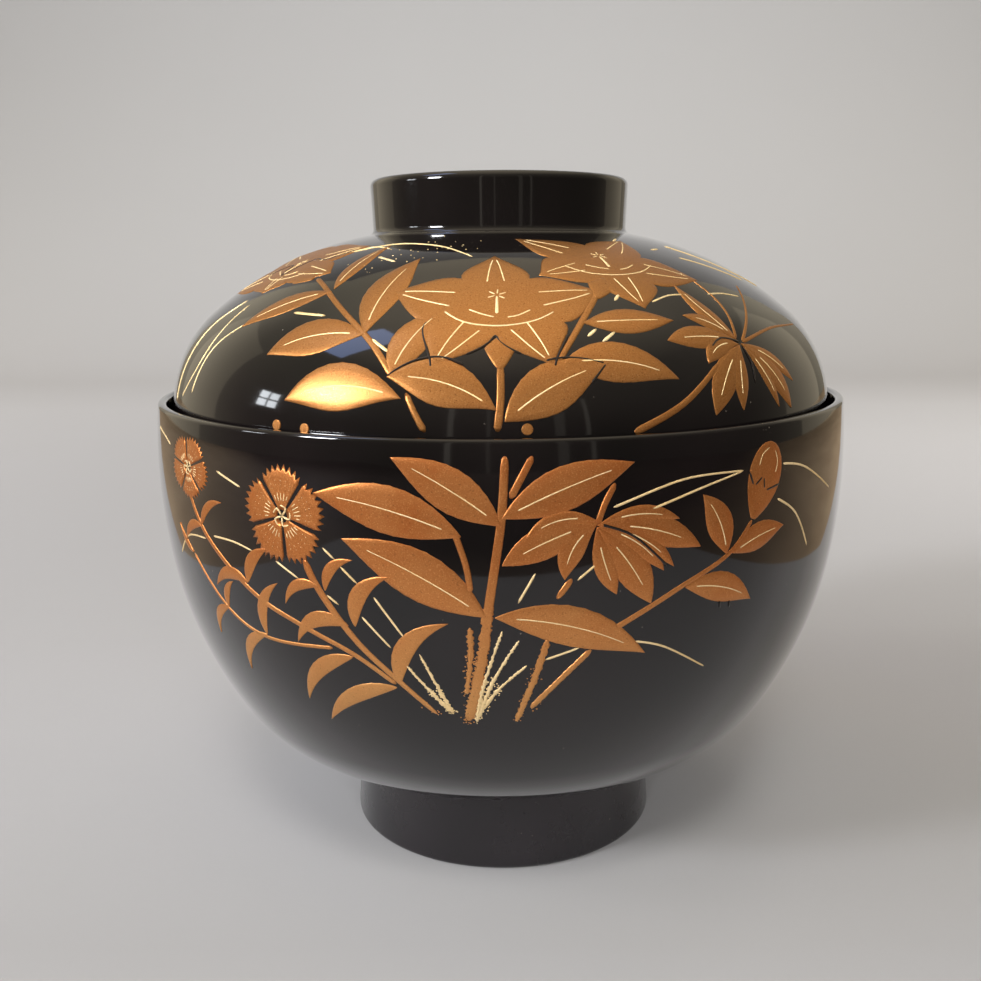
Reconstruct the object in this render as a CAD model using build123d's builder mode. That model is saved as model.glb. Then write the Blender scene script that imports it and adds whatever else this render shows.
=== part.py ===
from build123d import *
import os
from math import atan2, copysign, degrees, radians, sin

# Lidded lacquer rice bowl, in millimetres, +Z up, with its origin at the centre of the foot's resting
# face. Bowl and lid are two loose pieces. Each is a turned wood core with its foot ring turned in one
# piece, cloth bands let into the core where it chips first, and lacquer coats laid over all of it.
# Every piece is a body of revolution about Z, so the sections are drawn on the XZ plane.

# Layers
coat = 0.4  # ground and lacquer together
cloth = 0.5  # pasted cloth band
recess_round = 1.0  # cove where a recess floor meets the inside of a ring

# Bowl
rim_radius = 60.5
rim_height = 81.0
lip_thickness = 1.4
lip_round = 0.6
bowl_heading = -84.0  # direction of the outer wall where it leaves the lip, in degrees
bowl_bends = ((99.0, -15.7), (70.0, -23.0), (24.6, -37.8), (60.0, -9.7))  # radius, sweep
hollow_heading = -94.0
hollow_bends = ((260.0, -6.0), (66.0, -24.0), (22.0, -44.0))
foot_radius = 28.4
foot_wall = 3.4
foot_lean = 1.0  # how much narrower the foot's inside is at its ceiling
foot_ceiling = 11.5
foot_round = 0.9
foot_joint_round = 0.5
foot_ceiling_radius = foot_radius - foot_wall - foot_lean

# Lid
lid_radius = 58.2
lid_edge_height = 73.9  # bare wood; the coats bring the edge down to 73.5
lid_wall = 2.6
lid_heading = 90.2
lid_bends = ((100.0, 3.8), (22.1, 46.0), (57.7, 30.6))
ring_radius = 22.85
ring_top = 118.0
ring_wall = 2.4
ring_lean = 0.4
# Rounds of the bare wood; the coats add to the outer ones and fill the coves
lid_edge_round = 0.5
ring_outer_round = 0.8
ring_inner_round = 0.3
ring_joint_round = 1.5

# Where one coat ends and the next begins, and how far the cloth bands reach
foot_seam_height = 8.5
ring_seam_height = 114.0
bowl_rim_band = (64.0, 76.0)
bowl_foot_band = (2.5, 13.5)
lid_rim_band = (75.5, 82.0)
lid_ring_band = (111.0, 116.0)
seam_reach = 1.3
far = 90.0


def polar(length, heading):
    """Vector of that length in a section's plane, in degrees from the radial direction."""
    return Vector(length, 0).rotate(Axis.Z, heading)


def bearing(start, end):
    """Direction from one point to another in a section's plane, in degrees."""
    return degrees(atan2(end.Y - start.Y, end.X - start.X))


def arc_run(start, heading, bends, inset=0.0):
    """Draws tangent arcs into the open BuildLine, or the parallel run inset towards their centres.

    Returns the run's first point, its last point and its heading there.
    """
    first = Vector(*start) + polar(inset, heading + copysign(90.0, bends[0][1]))
    last = first
    for radius, sweep in bends:
        last = JernArc(last, polar(1.0, heading), radius - inset, sweep) @ 1
        heading += sweep
    return first, last, heading


def arc_to_axis(point, heading, inset=0.0):
    """Draws the tangent arc that meets the axis square, and returns where it meets it."""
    left = copysign(180.0, heading) - heading
    radius = point.X / sin(radians(abs(left)))
    return JernArc(point, polar(1.0, heading), radius, left) @ 1


def outer_half():
    """Keeps the half of the open sketch that is revolved."""
    Rectangle(far, 2 * far, align=(Align.MIN, Align.MIN), mode=Mode.INTERSECT)


def band_zone(low, high, inner_radius):
    """Keeps the part of the open sketch between two heights and outside a radius."""
    with Locations((inner_radius, low)):
        Rectangle(far, high - low, align=(Align.MIN, Align.MIN), mode=Mode.INTERSECT)


# Sections -----------------------------------------------------------------------------------------

# Finished surface of the bowl, both halves
with BuildSketch(Plane.XZ) as bowl_form:
    with BuildLine():
        lip_outside, foot_joint, underside_heading = arc_run(
            (rim_radius, rim_height), bowl_heading, bowl_bends
        )
        Polyline(foot_joint, (foot_joint.X, foot_ceiling), (0, foot_ceiling))
        lip_inside, wall_end, wall_heading = arc_run(
            (rim_radius - lip_thickness, rim_height), hollow_heading, hollow_bends
        )
        Line(arc_to_axis(wall_end, wall_heading), (0, foot_ceiling))
        Line(lip_outside, lip_inside)
    make_face()
    fillet(bowl_form.vertices().group_by(Axis.Y)[-1], lip_round)
    with BuildLine():
        Polyline(
            foot_joint,
            (foot_radius, 0),
            (foot_radius - foot_wall, 0),
            (foot_ceiling_radius, foot_ceiling),
            (foot_ceiling_radius, foot_ceiling + 1),
            close=True,
        )
    make_face()
    fillet(bowl_form.vertices().group_by(Axis.Y)[0], foot_round)
    fillet(bowl_form.vertices().sort_by_distance(foot_joint)[0], foot_joint_round)
    foot_corner = Vector(foot_ceiling_radius, foot_ceiling)
    fillet(bowl_form.vertices().sort_by_distance(foot_corner)[0], recess_round)
    mirror(about=Plane.YZ)

# Surface of the ground that the bowl's coats are laid on
with BuildSketch(Plane.XZ) as bowl_ground:
    add(bowl_form.sketch_local)
    offset(amount=-coat)

# Bottom of the rebates that the bowl's cloth bands are let into
with BuildSketch(Plane.XZ) as bowl_rebate:
    add(bowl_form.sketch_local)
    offset(amount=-coat - cloth)

# Surface of the ground under the lid's coats, both halves
with BuildSketch(Plane.XZ) as lid_ground:
    with BuildLine():
        edge_outside, ring_joint, dome_heading = arc_run(
            (lid_radius, lid_edge_height), lid_heading, lid_bends, inset=coat
        )
        edge_inside, under_end, _ = arc_run(
            (lid_radius, lid_edge_height), lid_heading, lid_bends, inset=lid_wall - coat
        )
        Line(arc_to_axis(ring_joint, dome_heading), arc_to_axis(under_end, dome_heading))
        Line(edge_outside, edge_inside)
    make_face()
    fillet(lid_ground.vertices().sort_by_distance(edge_outside)[0], lid_edge_round)
    fillet(lid_ground.vertices().sort_by_distance(edge_inside)[0], lid_edge_round)
    ring_corner = Vector(ring_radius - ring_wall + coat, ring_top - coat)
    recess_corner = Vector(ring_corner.X - ring_lean, ring_joint.Y)
    with BuildLine():
        Polyline(
            ring_joint,
            (ring_radius - coat, ring_top - coat),
            ring_corner,
            recess_corner,
            close=True,
        )
    make_face()
    fillet(lid_ground.vertices().sort_by_distance(ring_corner)[0], ring_inner_round)
    fillet(lid_ground.vertices().group_by(Axis.Y)[-1].sort_by(Axis.X)[-1], ring_outer_round)
    fillet(lid_ground.vertices().sort_by_distance(ring_joint)[0], ring_joint_round)
    fillet(lid_ground.vertices().sort_by_distance(recess_corner)[0], recess_round)
    mirror(about=Plane.YZ)

# Finished surface of the lid
with BuildSketch(Plane.XZ) as lid_form:
    add(lid_ground.sketch_local)
    offset(amount=coat)

# Bottom of the rebates that the lid's cloth bands are let into
with BuildSketch(Plane.XZ) as lid_rebate:
    with BuildLine():
        first, last, _ = arc_run(
            (lid_radius, lid_edge_height), lid_heading, lid_bends, inset=coat + cloth
        )
        Polyline(last, (0, last.Y), (0, first.Y), first)
    make_face()
    with BuildLine():
        Polyline(
            last,
            (ring_radius - coat - cloth, ring_top - coat),
            (0, ring_top - coat),
            (0, last.Y),
            close=True,
        )
    make_face()

# Zones that divide the coats ------------------------------------------------------------------------

foot_seam = (underside_heading + 180 + bearing(foot_joint, Vector(foot_radius, 0))) / 2
foot_seam_start = foot_joint - polar(seam_reach, foot_seam)
foot_seam_end = foot_joint + polar(far, foot_seam)
foot_middle = foot_ceiling_radius + foot_wall / 2

with BuildSketch(Plane.XZ) as foot_zone:
    with BuildLine():
        Polyline(
            foot_seam_end,
            foot_seam_start,
            (foot_middle, foot_ceiling),
            (foot_middle, foot_seam_height),
            (0, foot_seam_height),
            (0, -far),
            close=True,
        )
    make_face()

with BuildSketch(Plane.XZ) as underside_zone:
    with BuildLine():
        Polyline(
            (0, foot_seam_height),
            (foot_middle, foot_seam_height),
            (foot_middle, foot_ceiling + 2 * coat),
            (0, foot_ceiling + 2 * coat),
            close=True,
        )
    make_face()

# Outside of the bowl above the foot, from the middle of the lip down the middle of the wall
with BuildSketch(Plane.XZ) as outside_zone:
    with BuildLine():
        lip_middle, wall_foot, _ = arc_run(
            (rim_radius, rim_height), bowl_heading, bowl_bends, inset=lip_thickness / 2
        )
        Polyline(
            wall_foot,
            foot_seam_start,
            foot_seam_end,
            (2 * far, -far),
            (2 * far, 2 * far),
            (lip_middle.X, 2 * far),
            lip_middle,
        )
    make_face()

with BuildSketch(Plane.XZ) as inside_zone:
    with Locations((0, foot_ceiling + 2 * coat)):
        Rectangle(2 * far, 2 * far, align=(Align.CENTER, Align.MIN))
    add(outside_zone.sketch_local, mode=Mode.SUBTRACT)
    add(foot_zone.sketch_local, mode=Mode.SUBTRACT)

ring_seam = (dome_heading - 180 + bearing(ring_joint, Vector(ring_radius, ring_top))) / 2
ring_seam_start = ring_joint - polar(seam_reach, ring_seam)
ring_seam_end = ring_joint + polar(far, ring_seam)
ring_middle = ring_radius - ring_wall / 2 - ring_lean / 2

with BuildSketch(Plane.XZ) as ring_zone:
    with BuildLine():
        Polyline(
            ring_seam_end,
            ring_seam_start,
            (ring_middle, ring_seam_height),
            (0, ring_seam_height),
            (0, 3 * far),
            close=True,
        )
    make_face()

# Outside of the lid below the ring, from the middle of the wall outwards
with BuildSketch(Plane.XZ) as dome_zone:
    with BuildLine():
        edge_middle, dome_middle, _ = arc_run(
            (lid_radius, lid_edge_height), lid_heading, lid_bends, inset=lid_wall / 2
        )
        Polyline(
            dome_middle,
            ring_seam_start,
            ring_seam_end,
            (2 * far, -far),
            (edge_middle.X, -far),
            edge_middle,
        )
    make_face()

with BuildSketch(Plane.XZ) as lid_inside_zone:
    with BuildLine():
        arc_run((lid_radius, lid_edge_height), lid_heading, lid_bends, inset=lid_wall / 2)
        crown_middle = arc_to_axis(dome_middle, dome_heading)
        Polyline(crown_middle, (0, -far), (edge_middle.X, -far), edge_middle)
    make_face()

with BuildSketch(Plane.XZ) as ring_floor_zone:
    with BuildLine():
        Polyline(
            (0, ring_seam_height),
            (ring_middle, ring_seam_height),
            ring_seam_start,
            crown_middle,
            close=True,
        )
    make_face()


def lacquer(form, ground, zone):
    """Draws the coat between two surfaces, within a zone, into the open sketch."""
    add(form.sketch_local)
    add(ground.sketch_local, mode=Mode.SUBTRACT)
    outer_half()
    add(zone.sketch_local, mode=Mode.INTERSECT)


# Bowl -----------------------------------------------------------------------------------------------

with BuildPart() as bowl_rim_cloth:
    with BuildSketch(Plane.XZ):
        add(bowl_ground.sketch_local)
        add(bowl_rebate.sketch_local, mode=Mode.SUBTRACT)
        band_zone(*bowl_rim_band, rim_radius - lip_thickness / 2)
    revolve(axis=Axis.Z)

with BuildPart() as bowl_foot_cloth:
    with BuildSketch(Plane.XZ):
        add(bowl_ground.sketch_local)
        add(bowl_rebate.sketch_local, mode=Mode.SUBTRACT)
        band_zone(*bowl_foot_band, foot_joint.X - 2 * cloth)
    revolve(axis=Axis.Z)

with BuildPart() as bowl_core:
    with BuildSketch(Plane.XZ):
        add(bowl_ground.sketch_local)
        outer_half()
    revolve(axis=Axis.Z)
    add(bowl_rim_cloth.part, mode=Mode.SUBTRACT)
    add(bowl_foot_cloth.part, mode=Mode.SUBTRACT)

with BuildPart() as bowl_outer_lacquer:
    with BuildSketch(Plane.XZ):
        lacquer(bowl_form, bowl_ground, outside_zone)
    revolve(axis=Axis.Z)

with BuildPart() as bowl_inner_lacquer:
    with BuildSketch(Plane.XZ):
        lacquer(bowl_form, bowl_ground, inside_zone)
    revolve(axis=Axis.Z)

with BuildPart() as bowl_foot_lacquer:
    with BuildSketch(Plane.XZ):
        lacquer(bowl_form, bowl_ground, foot_zone)
    revolve(axis=Axis.Z)

with BuildPart() as bowl_underside_lacquer:
    with BuildSketch(Plane.XZ):
        lacquer(bowl_form, bowl_ground, underside_zone)
    revolve(axis=Axis.Z)

# Lid ------------------------------------------------------------------------------------------------

with BuildPart() as lid_rim_cloth:
    with BuildSketch(Plane.XZ):
        add(lid_ground.sketch_local)
        add(lid_rebate.sketch_local, mode=Mode.SUBTRACT)
        band_zone(*lid_rim_band, lid_radius - lid_wall / 2)
    revolve(axis=Axis.Z)

with BuildPart() as lid_ring_cloth:
    with BuildSketch(Plane.XZ):
        add(lid_ground.sketch_local)
        add(lid_rebate.sketch_local, mode=Mode.SUBTRACT)
        band_zone(*lid_ring_band, ring_joint.X - 2 * cloth)
    revolve(axis=Axis.Z)

with BuildPart() as lid_core:
    with BuildSketch(Plane.XZ):
        add(lid_ground.sketch_local)
        outer_half()
    revolve(axis=Axis.Z)
    add(lid_rim_cloth.part, mode=Mode.SUBTRACT)
    add(lid_ring_cloth.part, mode=Mode.SUBTRACT)

with BuildPart() as lid_outer_lacquer:
    with BuildSketch(Plane.XZ):
        lacquer(lid_form, lid_ground, dome_zone)
    revolve(axis=Axis.Z)

with BuildPart() as lid_inner_lacquer:
    with BuildSketch(Plane.XZ):
        lacquer(lid_form, lid_ground, lid_inside_zone)
    revolve(axis=Axis.Z)

with BuildPart() as lid_ring_lacquer:
    with BuildSketch(Plane.XZ):
        lacquer(lid_form, lid_ground, ring_zone)
    revolve(axis=Axis.Z)

with BuildPart() as lid_ring_floor_lacquer:
    with BuildSketch(Plane.XZ):
        lacquer(lid_form, lid_ground, ring_floor_zone)
    revolve(axis=Axis.Z)

# Export ---------------------------------------------------------------------------------------------

pieces = {
    "bowl_core": bowl_core,
    "bowl_rim_cloth": bowl_rim_cloth,
    "bowl_foot_cloth": bowl_foot_cloth,
    "bowl_outer_lacquer": bowl_outer_lacquer,
    "bowl_inner_lacquer": bowl_inner_lacquer,
    "bowl_foot_lacquer": bowl_foot_lacquer,
    "bowl_underside_lacquer": bowl_underside_lacquer,
    "lid_core": lid_core,
    "lid_rim_cloth": lid_rim_cloth,
    "lid_ring_cloth": lid_ring_cloth,
    "lid_outer_lacquer": lid_outer_lacquer,
    "lid_inner_lacquer": lid_inner_lacquer,
    "lid_ring_lacquer": lid_ring_lacquer,
    "lid_ring_floor_lacquer": lid_ring_floor_lacquer,
}
os.makedirs("parts", exist_ok=True)
for name, piece in pieces.items():
    piece.part.label = name
    export_step(piece.part, f"parts/{name}.step")
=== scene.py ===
from bisect import bisect_right
from math import atan2, ceil, copysign, cos, degrees, hypot, log, pi, radians, sin, tan
from random import Random

import bmesh
import bpy
from mathutils import Matrix, Vector


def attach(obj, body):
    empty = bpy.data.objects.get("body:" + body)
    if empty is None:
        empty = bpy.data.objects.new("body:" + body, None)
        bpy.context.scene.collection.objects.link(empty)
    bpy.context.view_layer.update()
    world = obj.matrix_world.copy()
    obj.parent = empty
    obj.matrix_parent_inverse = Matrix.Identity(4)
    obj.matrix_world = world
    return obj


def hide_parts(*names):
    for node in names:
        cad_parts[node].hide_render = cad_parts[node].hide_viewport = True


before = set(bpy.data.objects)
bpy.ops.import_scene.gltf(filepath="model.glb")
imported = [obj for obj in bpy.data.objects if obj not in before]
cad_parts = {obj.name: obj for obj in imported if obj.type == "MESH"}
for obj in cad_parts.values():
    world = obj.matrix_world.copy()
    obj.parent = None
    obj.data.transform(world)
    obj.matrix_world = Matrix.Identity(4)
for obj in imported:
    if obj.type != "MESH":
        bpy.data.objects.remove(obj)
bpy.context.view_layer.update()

MM = 0.001

# ---- Profiles, in millimetres, as (radius, height). They repeat the turned sections of the CAD model.

COAT = 0.4
RIM = (60.5, 81.0)
LIP_THICKNESS, LIP_ROUND = 1.4, 0.6
BOWL_OUTSIDE = (-84.0, ((99.0, -15.7), (70.0, -23.0), (24.6, -37.8), (60.0, -9.7)))
BOWL_INSIDE = (-94.0, ((260.0, -6.0), (66.0, -24.0), (22.0, -44.0)))
FOOT_RADIUS, FOOT_WALL, FOOT_LEAN, FOOT_CEILING = 28.4, 3.4, 1.0, 11.5
FOOT_SEAM_HEIGHT = 8.5
FOOT_JOINT_ROUND, FOOT_ROUND, FOOT_COVE = 0.5, 0.9, 1.0
LID_EDGE = (58.2, 73.9)
LID_WALL = 2.6
LID_OUTSIDE = (90.2, ((100.0, 3.8), (22.1, 46.0), (57.7, 30.6)))
RING_RADIUS, RING_TOP, RING_WALL, RING_LEAN = 22.85, 118.0, 2.4, 0.4
RING_SEAM_HEIGHT = 114.0
RING_COVE, RING_ROUND, RING_JOINT_ROUND = 1.0, 0.7, 1.2
LID_EDGE_ROUNDS = (1.1, 0.9)  # outside, inside
TURNS = 240  # faces round the axis
ARC_STEP = 2.0  # degrees of a profile's arc between points
JOIN_STEPS = 6
ON_AXIS = 1e-4  # a point nearer the axis than this counts as on it


def polar(length, heading):
    return Vector((length * cos(radians(heading)), length * sin(radians(heading))))


def arc_points(start, heading, bends, inset=0.0):
    """Points along tangent arcs of (radius, sweep), inset towards their centres, and the last heading."""
    point = Vector(start) + polar(inset, heading + copysign(90.0, bends[0][1]))
    points = [point]
    for radius, sweep in bends:
        side = copysign(90.0, sweep)
        radius -= inset
        centre = point + polar(radius, heading + side)
        count = max(2, ceil(abs(sweep) / ARC_STEP))
        for k in range(1, count + 1):
            points.append(centre - polar(radius, heading + sweep * k / count + side))
        heading += sweep
        point = points[-1]
    return points, heading


def to_axis(points, heading):
    """The same points, carried on by the arc that meets the axis square."""
    left = copysign(180.0, heading) - heading
    radius = points[-1].x / sin(radians(abs(left)))
    more, _ = arc_points(points[-1], heading, ((radius, left),))
    more[-1].x = 0.0
    return points + more[1:]


def join(first, second, radius):
    """Two point lists that meet in a corner, joined through an arc of that radius.

    Points that the arc would pass are dropped. That can change the directions at the corner, so it
    is done twice.
    """
    corner = first[-1]
    before, after = list(first), list(second)
    for _ in range(2):
        a = (before[-2] - corner).normalized()
        b = (after[1] - corner).normalized()
        half = a.angle(b) / 2
        trim = radius / tan(half)
        passed = trim * 1.02
        while len(before) > 2 and (before[-2] - corner).length < passed:
            before.pop(-2)
        while len(after) > 2 and (after[1] - corner).length < passed:
            after.pop(1)
    centre = corner + (a + b).normalized() * radius / sin(half)
    start, end = corner + a * trim, corner + b * trim
    turn = (start - centre).angle_signed(end - centre)
    arc = []
    for k in range(JOIN_STEPS + 1):
        spoke = (start - centre).copy()
        spoke.rotate(Matrix.Rotation(-turn * k / JOIN_STEPS, 2))
        arc.append(centre + spoke)
    return before[:-1] + arc + after[1:]


def line(*points):
    """Straight runs through those corners."""
    return [Vector(p) for p in points]


def bowl_loop():
    """Finished surface of the bowl, from the floor's centre over the lip to the foot's ceiling."""
    inside, heading = arc_points((RIM[0] - LIP_THICKNESS, RIM[1]), *BOWL_INSIDE)
    inside = to_axis(inside, heading)[::-1]
    outside, _ = arc_points(RIM, *BOWL_OUTSIDE)
    inner = FOOT_RADIUS - FOOT_WALL
    corners = line((FOOT_RADIUS, 0), (inner, 0), (inner - FOOT_LEAN, FOOT_CEILING), (0, FOOT_CEILING))
    loop = join(inside, line(inside[-1], outside[0]), LIP_ROUND)
    loop = join(loop, outside, LIP_ROUND)
    loop = join(loop, [outside[-1], corners[0]], FOOT_JOINT_ROUND)
    loop = join(loop, [corners[0], corners[1]], FOOT_ROUND)
    loop = join(loop, [corners[1], corners[2]], FOOT_ROUND)
    return join(loop, [corners[2], corners[3]], FOOT_COVE), outside


def lid_loop():
    """Finished surface of the lid, from the ring's floor over the dome to the underside's centre."""
    outside, heading = arc_points(LID_EDGE, *LID_OUTSIDE)
    crown = to_axis(outside, heading)[::-1]
    joint = outside[-1]
    inside, heading = arc_points(LID_EDGE, *LID_OUTSIDE, inset=LID_WALL)
    inside = to_axis(inside, heading)
    bottom = LID_EDGE[1] - COAT
    floor_end = Vector((RING_RADIUS - RING_WALL - RING_LEAN, joint.y))
    ring_floor = [p for p in crown if p.x < floor_end.x - 1.5 * RING_COVE] + [floor_end]
    ring = line((RING_RADIUS - RING_WALL, RING_TOP), (RING_RADIUS, RING_TOP))
    loop = join(ring_floor, [floor_end, ring[0]], RING_COVE)
    loop = join(loop, ring, RING_ROUND)
    loop = join(loop, [ring[1], joint], RING_JOINT_ROUND)
    loop = join(loop, outside[::-1] + line((LID_EDGE[0], bottom)), LID_EDGE_ROUNDS[0])
    loop = join(loop, line((LID_EDGE[0], bottom), (inside[0].x, bottom)), LID_EDGE_ROUNDS[1])
    return join(loop, line((inside[0].x, bottom)) + inside, LID_EDGE_ROUNDS[1]), outside


def nearest(loop, point):
    """The number of the loop's point that lies nearest."""
    return min(range(len(loop)), key=lambda k: (loop[k] - Vector(point)).length)


def normals_of(points):
    """Outward normals of a profile that keeps its material on its right, level at the axis."""
    out = []
    for k in range(len(points)):
        d = points[min(k + 1, len(points) - 1)] - points[max(k - 1, 0)]
        out.append(Vector((-d.y, d.x)).normalized())
    for k in (0, -1):
        if points[k].x < ON_AXIS:
            out[k] = Vector((0.0, copysign(1.0, out[k].y)))
    return out


# ---- Materials


class Shader:
    """A Principled material, with short ways to add nodes."""

    def __init__(self, name, **values):
        self.material = bpy.data.materials.new(name)
        self.material.use_nodes = True
        self.tree = self.material.node_tree
        self.bsdf = self.tree.nodes["Principled BSDF"]
        for key, value in values.items():
            self.bsdf.inputs[key.replace("_", " ")].default_value = value
        self.place = self.node("ShaderNodeTexCoord").outputs["Object"]

    def node(self, kind, links=(), **values):
        """A node with its sockets linked; values are its attributes or its other sockets."""
        made = self.tree.nodes.new(kind)
        for key, value in values.items():
            if hasattr(made, key):
                setattr(made, key, value)
            else:
                made.inputs[key.replace("_", " ")].default_value = value
        for key, source in dict(links).items():
            self.tree.links.new(source, made.inputs[key])
        return made

    def noise(self, scale, detail, roughness=0.5, place=None):
        found = self.node(
            "ShaderNodeTexNoise", {"Vector": place or self.place},
            Scale=scale, Detail=detail, Roughness=roughness,
        )
        return found.outputs["Fac"]

    def cells(self, scale):
        found = self.node("ShaderNodeTexVoronoi", {"Vector": self.place}, Scale=scale)
        return found.outputs["Distance"]

    def remap(self, value, low, high, to_low=0.0, to_high=1.0):
        made = self.node("ShaderNodeMapRange", {"Value": value})
        names = ("From Min", "From Max", "To Min", "To Max")
        for name, number in zip(names, (low, high, to_low, to_high)):
            made.inputs[name].default_value = number
        return made.outputs["Result"]

    def maths(self, operation, a, b):
        made = self.node("ShaderNodeMath", operation=operation)
        for slot, value in zip(made.inputs, (a, b)):
            if isinstance(value, float):
                slot.default_value = value
            else:
                self.tree.links.new(value, slot)
        return made.outputs["Value"]

    def mix(self, factor, a, b):
        made = self.node("ShaderNodeMix", data_type="RGBA")
        for name, value in (("Factor", factor), ("A", a), ("B", b)):
            kind = "VALUE" if name == "Factor" else "RGBA"
            slot = next(s for s in made.inputs if s.name == name and s.type == kind)
            if isinstance(value, tuple):
                slot.default_value = (*value, 1.0)
            else:
                self.tree.links.new(value, slot)
        return next(s for s in made.outputs if s.type == "RGBA")

    def along(self, axis):
        return self.node("ShaderNodeSeparateXYZ", {"Vector": self.place}).outputs[axis]

    def link(self, source, name):
        """Feeds one of the shader's own sockets."""
        self.tree.links.new(source, self.bsdf.inputs[name])

    def bump(self, height, distance, strength=1.0):
        """Relief as high as distance, in metres."""
        made = self.node("ShaderNodeBump", {"Height": height}, Strength=strength, Distance=distance)
        self.link(made.outputs["Normal"], "Normal")


LACQUER_IOR, GOLD_IOR = 1.36, 1.45
DUST = (0.35, 0.3, 0.24)
THIN_GOLD = (0.1, 0.035, 0.012)


def lacquer(name, dark, warm, rough, ripple):
    """Black lacquer in two layers: a faint brown cast, hazy patches, settled dust and a slow ripple.

    rough gives the least and the most roughness, and ripple the height of the waves in metres.
    """
    s = Shader(name, IOR=LACQUER_IOR, Coat_Weight=1.0, Coat_IOR=LACQUER_IOR, Coat_Roughness=rough[0])
    cast = s.remap(s.noise(35.0, 3.0), 0.35, 0.7)
    specks = s.remap(s.cells(420.0), 0.035, 0.06, 1.0, 0.0)
    patchy = s.remap(s.noise(55.0, 4.0, 0.6), 0.5, 0.62)
    specks = s.maths("MULTIPLY", specks, patchy)
    colour = s.mix(cast, dark, warm)
    s.link(s.mix(s.maths("MULTIPLY", specks, 0.25), colour, DUST), "Base Color")
    haze = s.remap(s.noise(90.0, 5.0, 0.65), 0.3, 0.75, *rough)
    s.link(s.maths("ADD", haze, s.maths("MULTIPLY", specks, 0.3)), "Roughness")
    wave = s.maths("ADD", s.noise(140.0, 2.0), s.maths("MULTIPLY", s.noise(1800.0, 1.0), 0.06))
    s.bump(wave, ripple)
    return s.material


def gold(name, low, high, pale, metallic, rough, bands=()):
    """Sprinkled gold powder: grains, thin places where the ground shows, and a slow change of tone.

    low and high are its two tones and pale its brightest grains. bands gives the heights in metres
    between which the tone goes from low to high; without them it wanders.
    """
    s = Shader(name, Metallic=metallic, IOR=GOLD_IOR)
    tone = s.remap(s.noise(130.0, 3.0, 0.6), 0.3, 0.7)
    if bands:
        climb = s.remap(s.along("Z"), *bands)
        tone = s.maths("ADD", s.maths("MULTIPLY", tone, 0.3), s.maths("MULTIPLY", climb, 0.7))
    colour = s.mix(tone, low, high)
    grain = s.noise(5200.0, 2.0, 0.7)
    colour = s.mix(s.remap(grain, 0.52, 0.75, 0.0, 0.55), colour, pale)
    colour = s.mix(s.remap(s.noise(3600.0, 1.0), 0.36, 0.25, 0.0, 0.4), colour, THIN_GOLD)
    s.link(colour, "Base Color")
    s.link(s.remap(grain, 0.3, 0.7, rough - 0.08, rough + 0.1), "Roughness")
    s.bump(grain, 0.00003, 0.6)
    return s.material


def turned_wood():
    """Bare wood of the cores, with its grain stretched along the axis."""
    s = Shader("turned_wood", Roughness=0.6)
    stretched = s.node("ShaderNodeMapping", {"Vector": s.place})
    stretched.inputs["Scale"].default_value = (1.0, 1.0, 0.12)
    grain = s.noise(420.0, 6.0, 0.6, stretched.outputs["Vector"])
    rings = s.noise(70.0, 2.0, 0.4, stretched.outputs["Vector"])
    colour = s.mix(s.remap(rings, 0.35, 0.65), (0.36, 0.21, 0.1), (0.52, 0.34, 0.18))
    s.link(s.mix(s.remap(grain, 0.45, 0.6, 0.0, 0.6), colour, (0.22, 0.12, 0.05)), "Base Color")
    s.bump(grain, 0.0002, 0.4)
    return s.material


def pasted_cloth():
    """Plain weave of the bands under the lacquer."""
    s = Shader("pasted_cloth", Roughness=0.85)
    waves = []
    for direction in ("X", "Z"):
        made = s.node("ShaderNodeTexWave", {"Vector": s.place}, bands_direction=direction, Scale=330.0)
        waves.append(made.outputs["Fac"])
    weave = s.maths("MAXIMUM", *waves)
    s.link(s.mix(s.remap(weave, 0.2, 0.9), (0.32, 0.26, 0.17), (0.62, 0.55, 0.4)), "Base Color")
    s.bump(weave, 0.0001, 0.6)
    return s.material


BLACK = lacquer(
    "black_lacquer", (0.0018, 0.0014, 0.0016), (0.005, 0.0034, 0.0038), (0.045, 0.12), 0.00002
)
SATIN = lacquer(
    "foot_lacquer", (0.0065, 0.0052, 0.0062), (0.011, 0.0083, 0.01), (0.22, 0.32), 0.00003
)
GROOVE = lacquer("outline_lacquer", (0.004, 0.003, 0.0025), (0.012, 0.006, 0.004), (0.25, 0.35), 0.00001)
LID_GOLD = gold(
    "lid_gold", (0.43, 0.165, 0.045), (0.42, 0.18, 0.05), (0.7, 0.38, 0.14), 0.8, 0.34, (0.075, 0.1)
)
BOWL_GOLD = gold(
    "bowl_gold", (0.6, 0.29, 0.1), (0.46, 0.14, 0.034), (0.84, 0.42, 0.15), 0.8, 0.36, (0.045, 0.064)
)
LID_PALE_GOLD = gold("pale_gold", (0.85, 0.6, 0.26), (0.9, 0.7, 0.38), (1.0, 0.88, 0.58), 0.4, 0.42)
BOWL_PALE_GOLD = gold(
    "bowl_pale_gold", (0.6, 0.42, 0.19), (0.68, 0.51, 0.28), (0.84, 0.7, 0.45), 0.4, 0.44
)
WOOD = turned_wood()
CLOTH = pasted_cloth()

for node_name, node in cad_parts.items():
    finish = WOOD if node_name.endswith("core") else CLOTH if node_name.endswith("cloth") else BLACK
    if not node.material_slots:
        node.data.materials.append(finish)
    for node_slot in node.material_slots:
        node_slot.material = finish


def keep(name, mesh_source, material, body, slot, stands_for=()):
    """Turns a bmesh into a piece that rides on a body, in place of the CAD nodes it stands for."""
    mesh = bpy.data.meshes.new(name)
    mesh_source.to_mesh(mesh)
    mesh_source.free()
    mesh.materials.append(material)
    piece = bpy.data.objects.new(name, mesh)
    bpy.context.scene.collection.objects.link(piece)
    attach(piece, body)
    if stands_for:
        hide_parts(*stands_for)


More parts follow.
